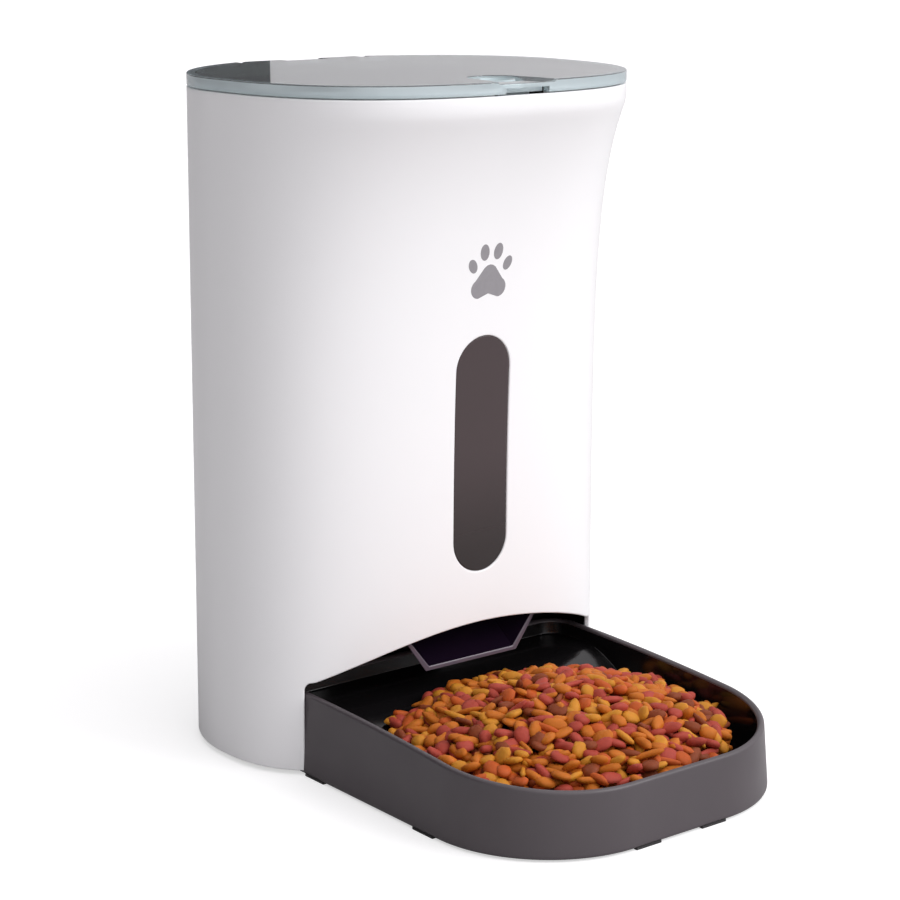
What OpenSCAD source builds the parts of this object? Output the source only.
// Automatic pet feeder: a tall moulded housing with a clear hinged lid, a smoked food bin,
// a motor-driven paddle rotor, a chute and a slide-out bowl tray.
// Front is -Y. The floor is Z = 0. The origin is under the middle of the bounding box.

/* [Housing] */
// Height from the floor to the top of the lid
total_height = 312; // [300:1:330]
// Width of the housing at its foot
base_width = 204; // [196:1:212]
// How much narrower each side is at the top
side_draft = 2.5; // [0:0.5:4]
// Distance from the widest line to the front face
front_depth = 65.5; // [62:0.5:70]
// Distance from the widest line to the back
rear_depth = 79.5; // [78:0.5:84]
// Wall of the housing
wall = 2.5; // [2:0.1:3]
// How far the top of the front face leans out
lip_reach = 32; // [24:1:34]
// Height over which the lean fades out
lip_fade = 44.5; // [38:0.5:50]
// Where the lean stops and the rim stands upright
lip_top = 298.5; // [296:0.5:300]

/* [Window] */
// Width of the food level window
window_width = 31; // [24:1:36]
// Lowest point of the window
window_low = 86; // [84:1:100]
// Highest point of the window
window_high = 196.5; // [180:0.5:200]

/* [Bowl] */
// Distance from the housing's widest line to the front of the bowl
bowl_reach = 203; // [195:1:210]
// Width of the bowl at its rim
bowl_width = 168; // [160:1:170]
// How much wider each side is at the foot
bowl_flare = 2.2; // [1:0.1:2.5]
// Radius of the front corners
bowl_corner = 57; // [40:1:60]
// Height of the rim at the housing
rim_rear = 38.6; // [37:0.2:42]
// Radius of the long arc that the rim follows
rim_arc = 1500; // [1300:10:2500]

/* [Lid] */
// Height of the lid's edge
lid_edge = 5.5; // [5:0.1:6]
// Thickness of the lid's plate
lid_plate = 3; // [2.6:0.1:3.4]
// Width of the thumb recess at the lid's front edge
recess_width = 31; // [28:1:34]
// Radius of the finger hole in the lid
finger_r = 12.4; // [11:0.1:13]
// How far the latch slides to release the lid
latch_travel = 3.4; // [2.5:0.1:3.6]

/* [Drive] */
// Teeth on the rotor's gear
drive_teeth = 48; // [48:1:48]
// Teeth on the idler's small gear
idler_small_teeth = 14; // [14:1:14]
// Teeth on the idler's large gear
idler_large_teeth = 36; // [36:1:36]
// Teeth on the motor's pinion
pinion_teeth = 10; // [10:1:10]
// Number of flexible vanes on the rotor
vane_count = 6; // [5:1:8]

/* [Hidden] */
$fn = 64;
ring_points = 60;
front_power = 2.7;
rear_power = 2;
house_y = (bowl_reach - rear_depth) / 2;

foot_h = 1.5;
base_plate_t = 3;
shell_low = foot_h + base_plate_t;
skirt_low = foot_h + 0.7;
shell_top = total_height - lid_edge - 0.5;

arch_gap = 1.2;
arch_r = 198;
arch_peak = 61.5;
alcove_back = -18;
alcove_top = 64.5;
liner_t = 1.6;

bin_rear = 45;
bin_gap = 1.5;
bin_wall = 2;
bin_top = shell_top - 1.5;
throat_z = 138;
funnel_top = 185;
throat = [30, 24];

drum_y = -6;
drum_z = 104;
drum_r = 34;
drum_wall = 2;
drum_half = 34;
vane_r = 31.5;
shaft_r = 3;

gear_module = 1;
gear_backlash = 0.28;
drive_x = 40;
second_x = 46.5;
gear_w = 5;
idler_y = drum_y + gear_module * (drive_teeth + idler_small_teeth) / 2;
idler_z = drum_z;
motor_turn = -25;
motor_reach = gear_module * (idler_large_teeth + pinion_teeth) / 2;
motor_y = idler_y + motor_reach * cos(motor_turn);
motor_z = idler_z + motor_reach * sin(motor_turn);
motor_r = 13.8;
plate_x = 36.5;
plate_t = 2;
cover_x = 53;

cell_r = 16.5;
cell_h = 59;
cell_y = 45;
cell_pitch = 34;
cell_low = 8;
battery_half = 54;
battery_front = 27;
battery_rear = 63;
door_half = 50;
door_front = 26;

deck_front = bin_rear + 1.5;
deck_z = shell_top - 2;
deck_t = 2;
key_names = ["key_menu", "key_record", "key_down", "key_up", "key_enter"];
key_places = [-56, -43, -30, 30, 43];
key_y = 53;
key_r = 4.5;
board_z = 288;
board_t = 1.6;
mic_x = 56;
speaker_z = 150;

hinge_y = 74;
hinge_z = total_height - lid_edge + 0.2;
hinge_notch = 38;
hinge_r = 5.2;
hinge_half = 32;
hinge_post = 11.5;
pin_r = 1.5;

lid_low = total_height - lid_edge;
lid_under = total_height - lid_plate;
lid_front = -(front_depth + lip_reach);
finger_y = -75;
recess_depth = 1;
slider_half = 11.7;
slider_low = lid_low + 0.2;
slider_top = lid_under - 0.2;
slider_rear = -62;
cup_r = finger_r - latch_travel - 0.2;
rail_front = -88;
rail_rear = -64;
rail_low = lid_low - 1.2;
spring_end = -52;
bin_front = lid_front + wall + bin_gap + bin_wall;
strike_face = bin_front + 2.6;
strike_z = bin_top - 2;

rib_low = shell_low + 4.3;
screw_places = [[92.5, -8], [76, 42]];
foot_places = [[70, -8], [60, 52]];

// ---------------------------------------------------------------- outlines and lofts

// How far the front face leans out at a height
function lip(z) = lip_reach * exp(-(lip_top - min(z, lip_top)) / lip_fade);

// Half of the housing's width at a height
function half_width(z) = base_width / 2 - side_draft * z / total_height;

// A point of a superellipse whose front and rear halves differ
function oval(t, a, front, rear) =
    let (p = sin(t) < 0 ? front_power : rear_power)
    [a * sign(cos(t)) * pow(abs(cos(t)), 2 / p),
     (sin(t) < 0 ? front : rear) * sign(sin(t)) * pow(abs(sin(t)), 2 / p)];

// The housing's outline at a height, grown or shrunk, with the back cut off straight at a line
function outline(z, grow = 0, back = 1000) =
    [for (i = [0 : ring_points - 1])
        let (q = oval(360 * i / ring_points, half_width(z) + grow,
                      front_depth + lip(z) + grow, rear_depth + grow))
        [q[0], min(q[1], back)]];

function at_z(flat, z) = [for (q = flat) [q[0], q[1], z]];

// Outline of the bin's throat, with as many points as the housing's outline
function throat_outline(grow) =
    [for (i = [0 : ring_points - 1])
        let (t = 360 * i / ring_points)
        [(throat[0] + grow) * sign(cos(t)) * pow(abs(cos(t)), 0.35),
         drum_y + (throat[1] + grow) * sign(sin(t)) * pow(abs(sin(t)), 0.35)]];

function sides(k, n, flip) =
    [for (j = [0 : n - 2]) for (i = [0 : k - 1])
        let (a = j * k + i, b = j * k + (i + 1) % k)
        flip ? [a, b, b + k, a + k] : [a, a + k, b + k, b]];

// Solid between stacked rings
module loft(rings) {
    k = len(rings[0]);
    n = len(rings);
    polyhedron(
        points = [for (r = rings) each r],
        faces = concat([[for (i = [0 : k - 1]) i]],
                       [[for (i = [k - 1 : -1 : 0]) (n - 1) * k + i]],
                       sides(k, n, false)));
}

// Open tube between outer and inner stacks of rings
module tube_loft(outer, inner) {
    k = len(outer[0]);
    n = len(outer);
    last = (n - 1) * k;
    polyhedron(
        points = concat([for (r = outer) each r], [for (r = inner) each r]),
        faces = concat(
            sides(k, n, false),
            [for (f = sides(k, n, true)) [for (v = f) v + n * k]],
            [for (i = [0 : k - 1]) let (j = (i + 1) % k) [i, j, j + n * k, i + n * k]],
            [for (i = [0 : k - 1]) let (j = (i + 1) % k)
                [last + i, last + i + n * k, last + j + n * k, last + j]]));
}

// Plate with the housing's outline
module outline_plate(z, h, grow, back = 1000) {
    translate([0, 0, z]) linear_extrude(h) polygon(outline(z, grow, back));
}

// Everything is drawn about the housing's widest line, then moved to the part's origin
module at_house() {
    translate([0, house_y, 0]) children();
}

module along_x(x0, x1, y, z, r) {
    translate([x0, y, z]) rotate([0, 90, 0]) cylinder(r = r, h = x1 - x0);
}

module along_y(y0, y1, x, z, r) {
    translate([x, y1, z]) rotate([90, 0, 0]) cylinder(r = r, h = y1 - y0);
}

// Box between two opposite corners
module block(low, high) {
    translate(low) cube(high - low);
}

module both_sides() {
    children();
    mirror([1, 0, 0]) children();
}

// ---------------------------------------------------------------- housing

shell_heights = [skirt_low, 80, 130, 170, 200, 225, 245, 262, 276, 287, 294, lip_top, shell_top];

module arch_cut() {
    side = bowl_width / 2 + arch_gap;
    intersection() {
        translate([0, alcove_back - 5, 0]) rotate([90, 0, 0]) linear_extrude(80)
            polygon([[-side - bowl_flare, -1], [side + bowl_flare, -1],
                     [side, rim_rear], [side, 80], [-side, 80], [-side, rim_rear]]);
        along_y(-120, 0, 0, arch_peak - arch_r, arch_r);
    }
}

module window_slot(shrink) {
    r = window_width / 2 - shrink;
    along_y(-110, -45, 0, window_low + window_width / 2, r);
    along_y(-110, -45, 0, window_high - window_width / 2, r);
    block([-r, -110, window_low + window_width / 2], [r, -45, window_high - window_width / 2]);
}

// Bosses that take the base screws, each tied to the wall by a rib
module screw_bosses() {
    for (p = screw_places) difference() {
        union() {
            translate([p[0], p[1], shell_low]) cylinder(r = 4.2, h = 16);
            intersection() {
                outline_plate(rib_low, 12, -wall / 2);
                block([p[0], p[1] - 1.2, 0], [base_width, p[1] + 1.2, 40]);
            }
        }
        translate([p[0], p[1], shell_low - 1]) cylinder(r = 1.3, h = 14);
    }
}

// Five slots in the back wall that let the speaker's sound out
module speaker_slots() {
    for (row = [-2 : 2]) {
        half = 13 - 1.5 * abs(row);
        block([-half, 60, speaker_z + 6 * row - 1], [half, 90, speaker_z + 6 * row + 1]);
        both_sides() along_y(60, 90, half, speaker_z + 6 * row, 1);
    }
}

// The skirt reaches down past the base plate, with a slot at the back for the battery door
module housing_shell() at_house() color("white") {
    difference() {
        union() {
            tube_loft([for (z = shell_heights) at_z(outline(z), z)],
                      [for (z = shell_heights) at_z(outline(z, -wall), z)]);
            both_sides() screw_bosses();
        }
        arch_cut();
        window_slot(0);
        block([-hinge_half - 1.5, 60, 298], [hinge_half + 1.5, 100, 330]);
        along_y(60, 100, 0, 22, 4.6);
        speaker_slots();
        block([-door_half - 2, 0, 0], [door_half + 2, 120, shell_low]);
    }
}

module base_plate() at_house() color("#232223") {
    difference() {
        union() {
            outline_plate(foot_h, base_plate_t, -wall - 0.25);
            intersection() {
                difference() {
                    outline_plate(shell_low, 4, -wall - 0.25);
                    outline_plate(shell_low - 1, 6, -wall - 2);
                }
                block([-150, alcove_back + 2, 0], [150, 60, 20]);
            }
        }
        block([-bowl_width / 2 - 5, -120, 0], [bowl_width / 2 + 5, alcove_back - liner_t, 20]);
        block([-door_half, door_front, 0], [door_half, 120, 20]);
        both_sides() block([door_half - 1, door_front, foot_h + 1],
                           [door_half + 1.6, 120, foot_h + 2]);
        both_sides() for (p = screw_places) translate([p[0], p[1], 0]) {
            cylinder(r = 1.7, h = 20);
            translate([0, 0, 1]) cylinder(r = 3.6, h = 2.2);
            translate([0, 0, shell_low]) cylinder(r = 4.6, h = 20);
        }
        both_sides() for (p = foot_places) translate([p[0], p[1], 0]) cylinder(r = 7, h = 2.3);
    }
}

module rubber_feet() at_house() color("#1b1b1b")
    both_sides() for (p = foot_places) translate([p[0], p[1], 0]) cylinder(r = 7, h = 2.3);

module screw(shank_h) {
    difference() {
        cylinder(r = 3, h = 1.6);
        block([-2.2, -0.4, -1], [2.2, 0.4, 0.7]);
        block([-0.4, -2.2, -1], [0.4, 2.2, 0.7]);
    }
    cylinder(r = 1.3, h = shank_h);
}

module base_screws() at_house() color("silver")
    both_sides() for (p = screw_places) translate([p[0], p[1], 1.6]) screw(14);

module window_lens() at_house() color("#4a4141", 0.9)
    intersection() {
        tube_loft([for (z = [80, 110, 140, 170, 200]) at_z(outline(z, -0.25), z)],
                  [for (z = [80, 110, 140, 170, 200]) at_z(outline(z, -wall), z)]);
        window_slot(0.1);
    }

// ---------------------------------------------------------------- alcove and chute

module alcove_liner() at_house() color("#141313") {
    side = bowl_width / 2 + 4;
    intersection() {
        linear_extrude(alcove_top + liner_t) polygon(outline(30, -wall - 0.2));
        difference() {
            block([-side - liner_t, -80, shell_low],
                  [side + liner_t, alcove_back, alcove_top + liner_t]);
            block([-side, -90, 0], [side, alcove_back - liner_t, alcove_top]);
            block([-45, -61, 40], [45, -21, 80]);
        }
    }
}

chute_lip = [-59.5, 43];
chute_back = [-23, 69];
chute_wall = 2;

// The trough's cross-section at the lip end or the rear end, w wider and d deeper
module chute_section(p, w, d, h) {
    translate([0, p[0] + 0.5, p[1]]) rotate([90, 0, 0]) linear_extrude(0.5)
        polygon([[-25 - w, -d], [25 + w, -d], [25 + w + 0.8 * h, h], [-25 - w - 0.8 * h, h]]);
}

module chute() at_house() color("#2a2029", 0.85)
    difference() {
        hull() {
            chute_section(chute_lip, chute_wall, chute_wall, 19);
            chute_section(chute_back, chute_wall, chute_wall, 19);
        }
        hull() {
            chute_section([chute_lip[0] - 7, chute_lip[1] - 5], 0, 0, 26);
            chute_section([chute_back[0] + 7, chute_back[1] + 5], 0, 0, 26);
        }
        along_x(-60, 60, drum_y, drum_z, drum_r + drum_wall + 0.3);
        block([-60, alcove_back - 1, 30], [60, 20, 120]);
    }

// ---------------------------------------------------------------- food bin and rotor case

bin_heights = [funnel_top, 205, 225, 245, 262, 276, 287, 294, lip_top, bin_top];

function bin_ring(z, grow) = outline(z, -wall - bin_gap + grow, bin_rear + grow);

module bin_wall_solid() {
    tube_loft(
        concat([at_z(throat_outline(0), throat_z)],
               [for (z = bin_heights) at_z(bin_ring(z, 0), z)]),
        concat([at_z(throat_outline(-bin_wall), throat_z)],
               [for (z = bin_heights) at_z(bin_ring(z, -bin_wall), z)]));
}

module food_bin() at_house() color("#3b3336", 0.75) {
    bin_wall_solid();
    difference() {
        outline_plate(bin_top - 2, 2, -wall - 0.3, bin_rear + 1);
        outline_plate(bin_top - 3, 4, -wall - bin_gap - 1, bin_rear - 1);
    }
}

module rotor_housing() at_house() color("#2b2829")
    difference() {
        union() {
            along_x(-drum_half, drum_half, drum_y, drum_z, drum_r + drum_wall);
            block([-throat[0] - 2, drum_y - throat[1] - 2, drum_z],
                  [throat[0] + 2, drum_y + throat[1] + 2, throat_z]);
        }
        along_x(-drum_half + 2, drum_half - 2, drum_y, drum_z, drum_r);
        block([2 - throat[0], drum_y - throat[1] + 2, drum_z],
              [throat[0] - 2, drum_y + throat[1] - 2, throat_z + 2]);
        block([-25, -60, chute_back[1] - 1], [25, drum_y - 17, drum_z - 2]);
        along_x(-50, 50, drum_y, drum_z, 5);
        block([-60, -60, throat_z], [60, 60, 160]);
    }

module drum_cradle() at_house() color("#2b2829")
    difference() {
        both_sides() block([25, alcove_back + 0.2, shell_low], [28, 24, drum_z - 8]);
        along_x(-60, 60, drum_y, drum_z, drum_r + drum_wall);
    }

module shaft_bushes() at_house() color("goldenrod")
    difference() {
        union() {
            both_sides() along_x(drum_half - 2, drum_half + 2, drum_y, drum_z, 5);
            both_sides() along_x(drum_half, drum_half + 2, drum_y, drum_z, 7);
        }
        along_x(-60, 60, drum_y, drum_z, shaft_r + 0.05);
    }

module rotor_hub() at_house() color("whitesmoke")
    difference() {
        union() {
            along_x(-30, 30, drum_y, drum_z, 8);
            for (side = [-1, 1]) along_x(side * 28 - 1, side * 28 + 1, drum_y, drum_z, 16);
        }
        along_x(-60, 60, drum_y, drum_z, shaft_r);
    }

module rotor_vanes() at_house() color("#c8643c")
    difference() {
        for (i = [0 : vane_count - 1])
            translate([0, drum_y, drum_z]) rotate([360 * i / vane_count, 0, 0])
                block([-26.5, -1.2, 6], [26.5, 1.2, vane_r]);
        along_x(-60, 60, drum_y, drum_z, 8);
    }

module drive_shaft() at_house() color("silver")
    along_x(-37, drive_x + gear_w, drum_y, drum_z, shaft_r);

// ---------------------------------------------------------------- gears and motor

pressure = 20;
function inv_deg(a) = tan(a) * 180 / PI - a;

// Half of a tooth's angle at a radius, for an involute gear
function tooth_half(teeth, r) =
    let (pitch_r = gear_module * teeth / 2,
         base_r = pitch_r * cos(pressure),
         a = r > base_r ? acos(base_r / r) : 0)
    90 / teeth - gear_backlash * 90 / (PI * pitch_r) + inv_deg(pressure) - inv_deg(a);

// Outline of a gear with its first tooth on the first axis
function gear_outline(teeth) =
    let (pitch_r = gear_module * teeth / 2,
         root = pitch_r - 1.25 * gear_module,
         tip = pitch_r + 0.9 * gear_module,
         base_r = max(root, pitch_r * cos(pressure)),
         flank = [root, base_r + (pitch_r - base_r) / 2, pitch_r, (pitch_r + tip) / 2, tip])
    [for (i = [0 : teeth - 1]) for (side = [-1, 1]) for (j = [0 : 4])
        let (r = flank[side < 0 ? j : 4 - j],
             t = 360 * i / teeth + side * tooth_half(teeth, r))
        [r * cos(t), r * sin(t)]];

// A gear on the X axis; turn 0 points its first tooth along +Y
module gear(teeth, x, y, z, turn, bore) {
    translate([x, y, z]) rotate([90, 0, 90]) rotate([0, 0, turn]) difference() {
        linear_extrude(gear_w) polygon(gear_outline(teeth));
        translate([0, 0, -1]) cylinder(r = bore, h = gear_w + 2);
    }
}

module drive_gear() at_house() color("ivory")
    gear(drive_teeth, drive_x, drum_y, drum_z, 0, shaft_r);

module idler_gear() at_house() color("ivory") {
    gear(idler_small_teeth, drive_x, idler_y, idler_z, 180 + 180 / idler_small_teeth, 2.05);
    gear(idler_large_teeth, second_x, idler_y, idler_z, motor_turn, 2.05);
    translate([drive_x + gear_w, idler_y, idler_z]) rotate([0, 90, 0]) difference() {
        cylinder(r = 5.5, h = second_x - drive_x - gear_w);
        translate([0, 0, -1]) cylinder(r = 2.05, h = 6);
    }
}

module motor_pinion() at_house() color("goldenrod")
    gear(pinion_teeth, second_x, motor_y, motor_z,
         motor_turn + 180 + 180 / pinion_teeth, 1.05);

module gearbox_outline(grow) {
    hull() {
        translate([drum_y, drum_z]) circle(r = 27 + grow, $fn = 32);
        translate([idler_y, idler_z]) circle(r = 22 + grow, $fn = 32);
        translate([motor_y, motor_z]) circle(r = 15 + grow, $fn = 32);
    }
}

gearbox_ears = [[drum_y - 21.5, drum_z + 21.5], [drum_y - 21.5, drum_z - 21.5],
                [motor_y + 3, motor_z + 19.5]];

// The gearbox's plan with its three screw ears, between two places along X
module gearbox_body(x0, x1) {
    translate([x0, 0, 0]) rotate([90, 0, 90]) linear_extrude(x1 - x0) gearbox_outline(1.5);
    for (p = gearbox_ears) along_x(x0, x1, p[0], p[1], 3.6);
}

module gearbox_plate() at_house() color("dimgray") {
    difference() {
        gearbox_body(plate_x, plate_x + plate_t);
        along_x(0, 90, drum_y, drum_z, shaft_r + 0.4);
        along_x(0, 90, motor_y, motor_z, 3.1);
        for (p = gearbox_ears) along_x(0, 90, p[0], p[1], 1);
    }
    along_x(plate_x + plate_t, cover_x - 0.2, idler_y, idler_z, 2);
}

module gearbox_cover() at_house() color("dimgray")
    difference() {
        gearbox_body(plate_x + plate_t, cover_x + 2);
        translate([plate_x + 1, 0, 0]) rotate([90, 0, 90]) linear_extrude(cover_x - plate_x - 1)
            gearbox_outline(-0.4);
        for (p = gearbox_ears) along_x(0, 90, p[0], p[1], 1.4);
    }

module gearbox_screws() at_house() color("silver")
    for (p = gearbox_ears) {
        along_x(plate_x, cover_x + 3, p[0], p[1], 1);
        along_x(cover_x + 2, cover_x + 3.6, p[0], p[1], 2.4);
    }

module motor() at_house() color("silver") {
    along_x(plate_x - 32, plate_x, motor_y, motor_z, motor_r);
    along_x(plate_x - 34.5, plate_x - 32, motor_y, motor_z, 5);
    along_x(plate_x, plate_x + 1.5, motor_y, motor_z, 3);
    along_x(plate_x, second_x - 0.5, motor_y, motor_z, 1);
}

// ---------------------------------------------------------------- power

module battery_box() at_house() color("#2b2829")
    difference() {
        block([-battery_half, battery_front, shell_low + 0.2],
              [battery_half, battery_rear, 72]);
        block([-battery_half + 1.6, battery_front + 1.4, shell_low - 1],
              [battery_half - 1.6, battery_rear - 1.4, 70.4]);
    }

module battery_cells() at_house() color("#b0782a")
    for (i = [-1 : 1]) translate([i * cell_pitch, cell_y, cell_low]) {
        cylinder(r = cell_r, h = cell_h);
        cylinder(r = 5, h = cell_h + 1.6);
    }

module battery_contacts() at_house() color("silver")
    for (i = [-1 : 1])
        block([i * cell_pitch - 8, cell_y - 6, cell_low + cell_h + 1.6],
              [i * cell_pitch + 8, cell_y + 6, cell_low + cell_h + 2.1]);

module battery_door() at_house() color("#232223") {
    difference() {
        intersection() {
            outline_plate(foot_h + 0.1, base_plate_t - 0.2, -wall - 0.45);
            block([-door_half + 0.3, door_front + 0.3, 0], [door_half - 0.3, 120, 20]);
        }
        for (i = [0 : 3]) block([-12, 55 + 3 * i, 0], [12, 56.2 + 3 * i, foot_h + 0.7]);
    }
    both_sides() block([door_half - 1, door_front + 0.3, foot_h + 1.2],
                       [door_half + 1.3, 62, foot_h + 1.8]);
}

module power_jack() at_house() color("#1b1b1b") {
    difference() {
        union() {
            block([-5.5, 64.5, 16], [5.5, 75, 28]);
            along_y(74, rear_depth - 0.4, 0, 22, 4.4);
        }
        along_y(67, 90, 0, 22, 2.75);
    }
    along_y(66.5, 77, 0, 22, 1.05);
}

// ---------------------------------------------------------------- controls

module control_deck() at_house() color("#171616")
    difference() {
        union() {
            difference() {
                outline_plate(deck_z - deck_t, deck_t, -wall - 0.3);
                block([-150, -150, 0], [150, deck_front, 400]);
            }
            both_sides() block([20.2, deck_front, board_z + board_t], [22.6, 62, deck_z - deck_t]);
            both_sides() block([62.5, deck_front, board_z + board_t], [64.5, 52, deck_z - deck_t]);
        }
        block([-19, 48.5, 0], [19, 63.5, 400]);
        block([-hinge_half - 1.5, 66.5, 280], [hinge_half + 1.5, 90, 400]);
        for (x = key_places) translate([x, key_y, 0]) cylinder(r = key_r + 0.3, h = 400);
        translate([mic_x, key_y, 0]) cylinder(r = 0.8, h = 400);
    }

module display_module() at_house() color("#7f9a8a")
    block([-19.5, 48, deck_z - deck_t - 5], [19.5, 64, deck_z - deck_t]);

module display_lens() at_house() color("#30383c", 0.6)
    block([-19, 48.5, deck_z - deck_t], [19, 63.5, deck_z]);

module main_board() at_house() color("#1f5a3a")
    intersection() {
        outline_plate(board_z, board_t, -wall - 2);
        block([-66, deck_front, 0], [66, 64, 400]);
    }

module tact_switches() at_house() color("#2f2f2f")
    for (x = key_places) {
        block([x - 3, key_y - 3, board_z + board_t], [x + 3, key_y + 3, board_z + 5]);
        translate([x, key_y, board_z + 5]) cylinder(r = 1.7, h = 1);
    }

module key(i) at_house() color("#565356") translate([key_places[i], key_y, 0]) {
    translate([0, 0, deck_z - deck_t - 1.6]) cylinder(r = key_r, h = deck_t + 2.8);
    translate([0, 0, deck_z - deck_t - 1.6]) cylinder(r = key_r + 1.2, h = 1.4);
    translate([0, 0, board_z + 7.2]) cylinder(r = 1.8, h = deck_z - deck_t - board_z - 8);
}

module microphone() at_house() color("silver")
    translate([mic_x, key_y, deck_z - deck_t - 4]) cylinder(r = 3, h = 4);

module speaker() at_house() color("#303030") {
    along_y(67, 71, 0, speaker_z, 15);
    along_y(60, 67, 0, speaker_z, 8);
}

module chute_sensors() at_house() color("#101010")
    both_sides() {
        block([46, -48, alcove_top + liner_t], [52, -40, alcove_top + liner_t + 9]);
        along_x(44.2, 46, -44, alcove_top + liner_t + 4.5, 2);
    }

// Round tube along a list of points
module sweep(points, r, count) {
    n = len(points);
    function unit(v) = v / norm(v);
    function dir(i) = unit(points[min(i + 1, n - 1)] - points[max(i - 1, 0)]);
    function side_of(d) = unit(cross(d, [1, 0.02, 0.03]));
    loft_rings = [for (i = [0 : n - 1])
        let (d = dir(i), u = side_of(d), v = cross(d, u))
        [for (k = [0 : count - 1])
            points[i] + r * (cos(360 * k / count) * u + sin(360 * k / count) * v)]];
    loft(loft_rings);
}

motor_lead_path = [[2, 46, 95], [-2, 47, 95], [-7, 51, 97], [-12, 57, 104], [-16, 62, 116],
                   [-19, 65, 132], [-19, 66, 160], [-19, 64, 190], [-18, 61, 220],
                   [-17, 58, 250], [-16, 56, 275], [-16, 56, 288]];
jack_lead_path = [[0, 67, 28], [3, 67, 34], [9, 67, 44], [14, 67, 62], [18, 66, 100],
                  [20, 65, 130], [20, 65, 160], [20, 63, 200], [19, 60, 240],
                  [18, 57, 270], [18, 56, 288]];

module wiring() at_house() color("firebrick") {
    sweep(motor_lead_path, 1.3, 8);
    sweep(jack_lead_path, 1.3, 8);
}

// ---------------------------------------------------------------- lid and hinge

module hinge_bracket() at_house() color("white")
    difference() {
        union() {
            intersection() {
                block([-hinge_post, 67, 282], [hinge_post, 90, hinge_z]);
                outline_plate(280, 40, -wall - 0.02);
            }
            along_x(-hinge_post, hinge_post, hinge_y, hinge_z, 4.8);
        }
        along_x(-50, 50, hinge_y, hinge_z, pin_r);
    }

module hinge_pin() at_house() color("silver")
    along_x(-hinge_half + 1, hinge_half - 1, hinge_y, hinge_z, pin_r);

// Thumb recess: as wide as the finger hole at the rear, wider at the lid's edge
module recess_plan() {
    polygon([[-recess_width / 2, lid_front - 2], [recess_width / 2, lid_front - 2],
             [finger_r - 0.2, finger_y - 2], [-finger_r + 0.2, finger_y - 2]]);
}

module lid_panel() at_house() color("#cfdfe4", 0.5) {
    difference() {
        union() {
            difference() {
                outline_plate(lid_low, lid_edge, 0);
                outline_plate(lid_low - 1, lid_edge - lid_plate + 1, -4);
                block([-hinge_notch, hinge_y - 6, 300], [hinge_notch, 100, 330]);
            }
            both_sides() along_x(hinge_post + 0.4, hinge_half, hinge_y, hinge_z, hinge_r);
            both_sides() block([hinge_post + 0.4, hinge_y - 7, hinge_z + 0.4],
                               [hinge_half, hinge_y, total_height]);
        }
        along_x(-60, 60, hinge_y, hinge_z, pin_r + 0.05);
        translate([0, finger_y, 300]) cylinder(r = finger_r, h = 30);
        translate([0, 0, total_height - recess_depth]) linear_extrude(10) recess_plan();
        block([-slider_half - 0.3, lid_front - 2, 300], [slider_half + 0.3, lid_front + 8, lid_under]);
    }
    both_sides() block([slider_half + 0.3, rail_front, rail_low],
                       [slider_half + 2.6, rail_rear, lid_under]);
    both_sides() block([slider_half - 1.7, rail_front, rail_low],
                       [slider_half + 0.5, rail_rear, slider_low - 0.2]);
    block([-4, spring_end, rail_low], [4, spring_end + 2, lid_under]);
}

module lid_gasket() at_house() color("#e8e8e4")
    difference() {
        outline_plate(bin_top + 0.3, lid_under - bin_top - 0.3, -wall - bin_gap - 0.6, bin_rear - 0.6);
        outline_plate(bin_top, 10, -wall - bin_gap - 3, bin_rear - 3.4);
        block([-slider_half - 3, lid_front, 290], [slider_half + 3, -60, 330]);
    }

// Slider with a finger cup, a nose that shows in the lid's edge and a hook behind the strike
module lid_latch() at_house() color("#39585e") {
    difference() {
        union() {
            block([-slider_half, lid_front + 4.6, slider_low], [slider_half, slider_rear, slider_top]);
            translate([0, finger_y, slider_low]) cylinder(r = cup_r, h = total_height - 0.8 - slider_low);
        }
        translate([0, finger_y, slider_low + 1]) cylinder(r = cup_r - 1.6, h = 30);
    }
    block([-8, strike_face + 0.3, strike_z - 1.8], [8, strike_face + 2.1, slider_low]);
}

module latch_spring() at_house() color("silver")
    along_y(slider_rear, spring_end, 0, (slider_low + slider_top) / 2, 1);

// Ledge on the bin's rim that the latch's hook springs behind
module latch_strike() at_house() color("#3b3336")
    intersection() {
        block([-9, lid_front, strike_z - 2.2], [9, strike_face, strike_z + 1.6]);
        outline_plate(strike_z - 2.2, 3.8, -wall - bin_gap - bin_wall);
    }

// ---------------------------------------------------------------- bowl

// Corner posts of a rounded slab, for a hull
module slab(half, front, rear, r_front, r_rear, z, h) {
    for (side = [-1, 1]) {
        translate([side * (half - r_front), front + r_front, z])
            cylinder(r = r_front, h = h, $fn = 48);
        translate([side * (half - r_rear), rear - r_rear, z])
            cylinder(r = r_rear, h = h, $fn = 24);
    }
}

bowl_rear = -22;
bowl_low = 1.2;
bowl_wall = 3.2;
bowl_skin = 2.6;
bowl_floor = 5.5;
ramp_foot = -104;
ramp_slope = 54 / 30.5;
ramp_shift = 5.3;
rim_peak_y = -32;

// Where the ramp's surface lies at a height
function ramp_y(z) = ramp_foot + (z - bowl_floor) * ramp_slope;

// How high the rim is along its side, highest near the housing
function rim_z(y) = rim_rear - rim_arc + sqrt(pow(rim_arc, 2) - pow(y - rim_peak_y, 2));

// The tray's outside at the foot and above the rim
module bowl_outer() {
    half = bowl_width / 2;
    hull() {
        slab(half + bowl_flare, -bowl_reach, bowl_rear, bowl_corner, 5, bowl_low, 0.4);
        slab(half, -bowl_reach + bowl_flare, bowl_rear, bowl_corner, 5, rim_rear + 1, 0.4);
    }
}

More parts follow.
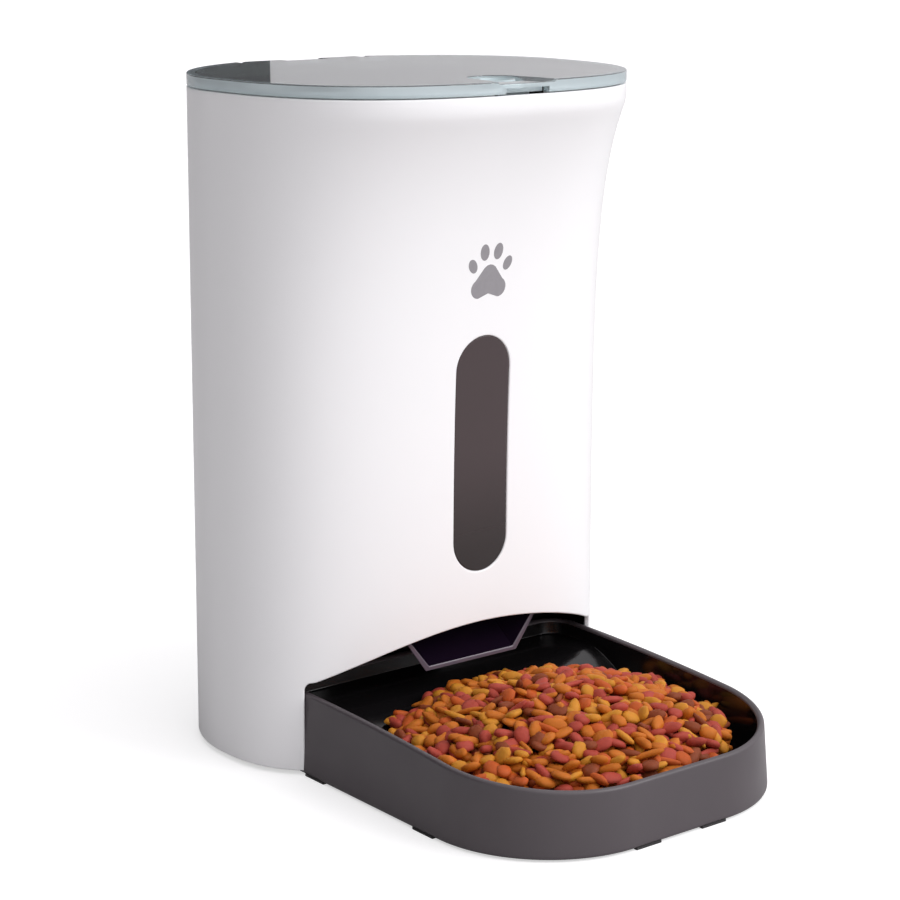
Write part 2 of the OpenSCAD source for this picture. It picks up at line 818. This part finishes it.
// The space for food, with rounded lower edges and a ramp at the rear
module bowl_basin() {
    half = bowl_width / 2 - bowl_wall;
    front = -bowl_reach + bowl_flare + bowl_wall;
    rear = ramp_y(rim_rear + 4);
    corner = bowl_corner - bowl_wall;
    intersection() {
        hull() {
            slab(half - 9, front + 9, rear, corner - 9, 8, bowl_floor, 0.1);
            slab(half - 3, front + 3, rear, corner - 3, 8, 8, 0.1);
            slab(half - 0.8, front + 0.8, rear, corner - 1, 8, 14, 0.1);
            slab(half, front, rear, corner, 8, rim_rear + 4, 0.1);
        }
        translate([-100, 0, 0]) rotate([90, 0, 90]) linear_extrude(200)
            polygon([[-bowl_reach, 0], [ramp_y(0), 0], [ramp_y(60), 60], [-bowl_reach, 60]]);
    }
}

// The hollow under the floor and under the ramp
module bowl_underside() {
    half = bowl_width / 2 + bowl_flare - bowl_skin;
    inner = bowl_width / 2 - bowl_wall - 0.8;
    low = bowl_floor - bowl_skin;
    high = rim_rear - 7;
    hull()
        slab(half, -bowl_reach + bowl_skin, bowl_rear - bowl_skin, bowl_corner - bowl_skin, 4, 0, low);
    hull() {
        slab(inner, ramp_y(low) + ramp_shift, bowl_rear - bowl_skin, 3, 3, low - 0.1, 0.1);
        slab(inner, ramp_y(high) + ramp_shift, bowl_rear - bowl_skin, 3, 3, high, 0.1);
    }
}

module bowl_tray() at_house() color("#4a4648")
    difference() {
        intersection() {
            bowl_outer();
            translate([-150, 0, 0]) rotate([90, 0, 90]) linear_extrude(300)
                polygon(concat([[-bowl_reach - 5, -5]],
                               [for (y = [-bowl_reach - 5:9:0]) [y, rim_z(y)]], [[0, -5]]));
        }
        bowl_basin();
        bowl_underside();
    }

// Soft pads under the tray's wall
module bowl_feet() at_house() color("#2b2829") both_sides() {
    side = bowl_width / 2 + bowl_flare;
    for (y = [-140, -60])
        block([side - bowl_skin + 0.3, y, 0], [side - 0.3, y + 14, bowl_low]);
    block([12, -bowl_reach + 0.3, 0], [26, -bowl_reach + bowl_skin - 0.3, bowl_low]);
}

// ---------------------------------------------------------------- nodes

housing_shell();
base_plate();
rubber_feet();
base_screws();
alcove_liner();
chute();
window_lens();
food_bin();
latch_strike();
rotor_housing();
drum_cradle();
shaft_bushes();
gearbox_plate();
gearbox_cover();
gearbox_screws();
motor();
battery_box();
battery_cells();
battery_contacts();
power_jack();
control_deck();
display_module();
display_lens();
main_board();
tact_switches();
microphone();
speaker();
chute_sensors();
wiring();
hinge_bracket();
hinge_pin();
lid_panel();
lid_gasket();
latch_spring();
lid_latch();
bowl_tray();
bowl_feet();
rotor_hub();
rotor_vanes();
drive_shaft();
drive_gear();
idler_gear();
motor_pinion();
battery_door();
for (i = [0 : len(key_names) - 1])
    key(i);
